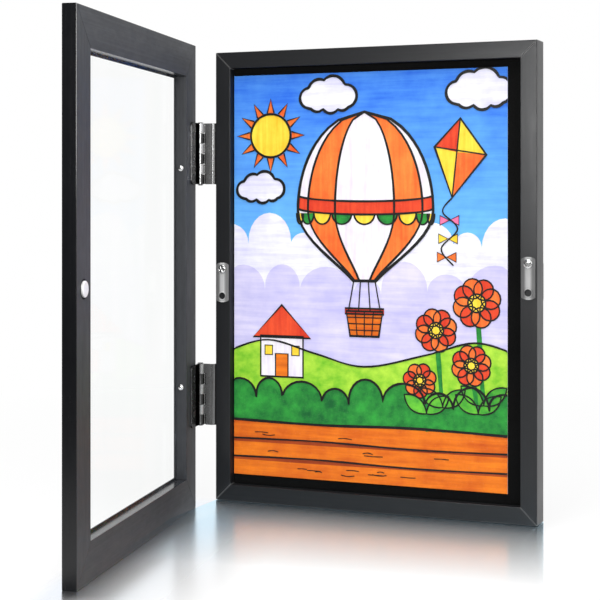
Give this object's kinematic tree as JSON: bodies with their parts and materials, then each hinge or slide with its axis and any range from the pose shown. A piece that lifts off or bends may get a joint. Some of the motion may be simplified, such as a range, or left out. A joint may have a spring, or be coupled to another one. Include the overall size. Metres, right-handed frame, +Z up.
{
  "type": "poster frame",
  "caption": "Front-opening shadow-box frame for A4 sheets, with a glazed door on two side hinges, turn clips and a magnet catch.",
  "frame": {"origin": "on the wall, at the middle of the back face of the box's bottom rail", "axes": "+X to the right seen from the front, +Y out of the back into the wall, +Z up; the door hangs on the -X side and stands open towards -Y"},
  "size_m": [0.2664, 0.2808, 0.344],
  "materials": {
    "charcoal_wrap": "satin charcoal foil over moulded fibreboard",
    "black_hardboard": "matte black hardboard",
    "black_foam": "matte black foam board",
    "art_paper": "matte painted paper",
    "clear_acrylic": "gloss clear acrylic sheet",
    "brushed_steel": "satin brushed steel",
    "hinge_steel": "satin nickel-plated steel",
    "zinc_fastener": "satin zinc-plated steel",
    "nickel_magnet": "polished nickel plate"
  },
  "bodies": {
    "box": {"art_sheet": "art_paper", "back_panel": "black_hardboard", "box_bottom_rail": "charcoal_wrap", "box_left_stile": "charcoal_wrap", "box_right_stile": "charcoal_wrap", "box_top_rail": "charcoal_wrap", "clip_screw_left": "zinc_fastener", "clip_screw_right": "zinc_fastener", "corner_nail_bottom_left": "zinc_fastener", "corner_nail_bottom_right": "zinc_fastener", "corner_nail_top_left": "zinc_fastener", "corner_nail_top_right": "zinc_fastener", "foam_pad": "black_foam", "hanger_nail_side_1": "zinc_fastener", "hanger_nail_side_2": "zinc_fastener", "hanger_nail_top_1": "zinc_fastener", "hanger_nail_top_2": "zinc_fastener", "lower_hinge_box_leaf": "hinge_steel", "lower_hinge_box_screw_lower": "zinc_fastener", "lower_hinge_box_screw_upper": "zinc_fastener", "lower_hinge_pin": "hinge_steel", "panel_point_bottom": "zinc_fastener", "panel_point_left_lower": "zinc_fastener", "panel_point_left_upper": "zinc_fastener", "panel_point_right_lower": "zinc_fastener", "panel_point_right_upper": "zinc_fastener", "panel_point_top": "zinc_fastener", "sawtooth_hanger_side": "zinc_fastener", "sawtooth_hanger_top": "zinc_fastener", "upper_hinge_box_leaf": "hinge_steel", "upper_hinge_box_screw_lower": "zinc_fastener", "upper_hinge_box_screw_upper": "zinc_fastener", "upper_hinge_pin": "hinge_steel"},
    "door": {"door_bottom_rail": "charcoal_wrap", "door_left_stile": "charcoal_wrap", "door_magnet": "nickel_magnet", "door_pane": "clear_acrylic", "door_right_stile": "charcoal_wrap", "door_top_rail": "charcoal_wrap", "lower_hinge_door_leaf": "hinge_steel", "lower_hinge_door_screw_lower": "zinc_fastener", "lower_hinge_door_screw_upper": "zinc_fastener", "pane_pin_left_lower": "zinc_fastener", "pane_pin_left_upper": "zinc_fastener", "pane_pin_right_lower": "zinc_fastener", "pane_pin_right_upper": "zinc_fastener", "upper_hinge_door_leaf": "hinge_steel", "upper_hinge_door_screw_lower": "zinc_fastener", "upper_hinge_door_screw_upper": "zinc_fastener"},
    "turn_clip_left": {"turn_clip_left": "brushed_steel"},
    "turn_clip_right": {"turn_clip_right": "brushed_steel"}
  },
  "joints": [
    {"name": "door_hinge", "type": "hinge", "parent": "box", "child": "door", "pos_m": [-0.1345, -0.01935, 0.165], "axis": [0, 0, -1], "range_deg": [-79, 101]},
    {"name": "turn_clip_left_pivot", "type": "hinge", "parent": "box", "child": "turn_clip_left", "pos_m": [-0.1165, -0.0188, 0.169], "axis": [0, -1, 0], "range_deg": [0, 180]},
    {"name": "turn_clip_right_pivot", "type": "hinge", "parent": "box", "child": "turn_clip_right", "pos_m": [0.1165, -0.0188, 0.1765], "axis": [0, 1, 0], "range_deg": [0, 180]}
  ]
}
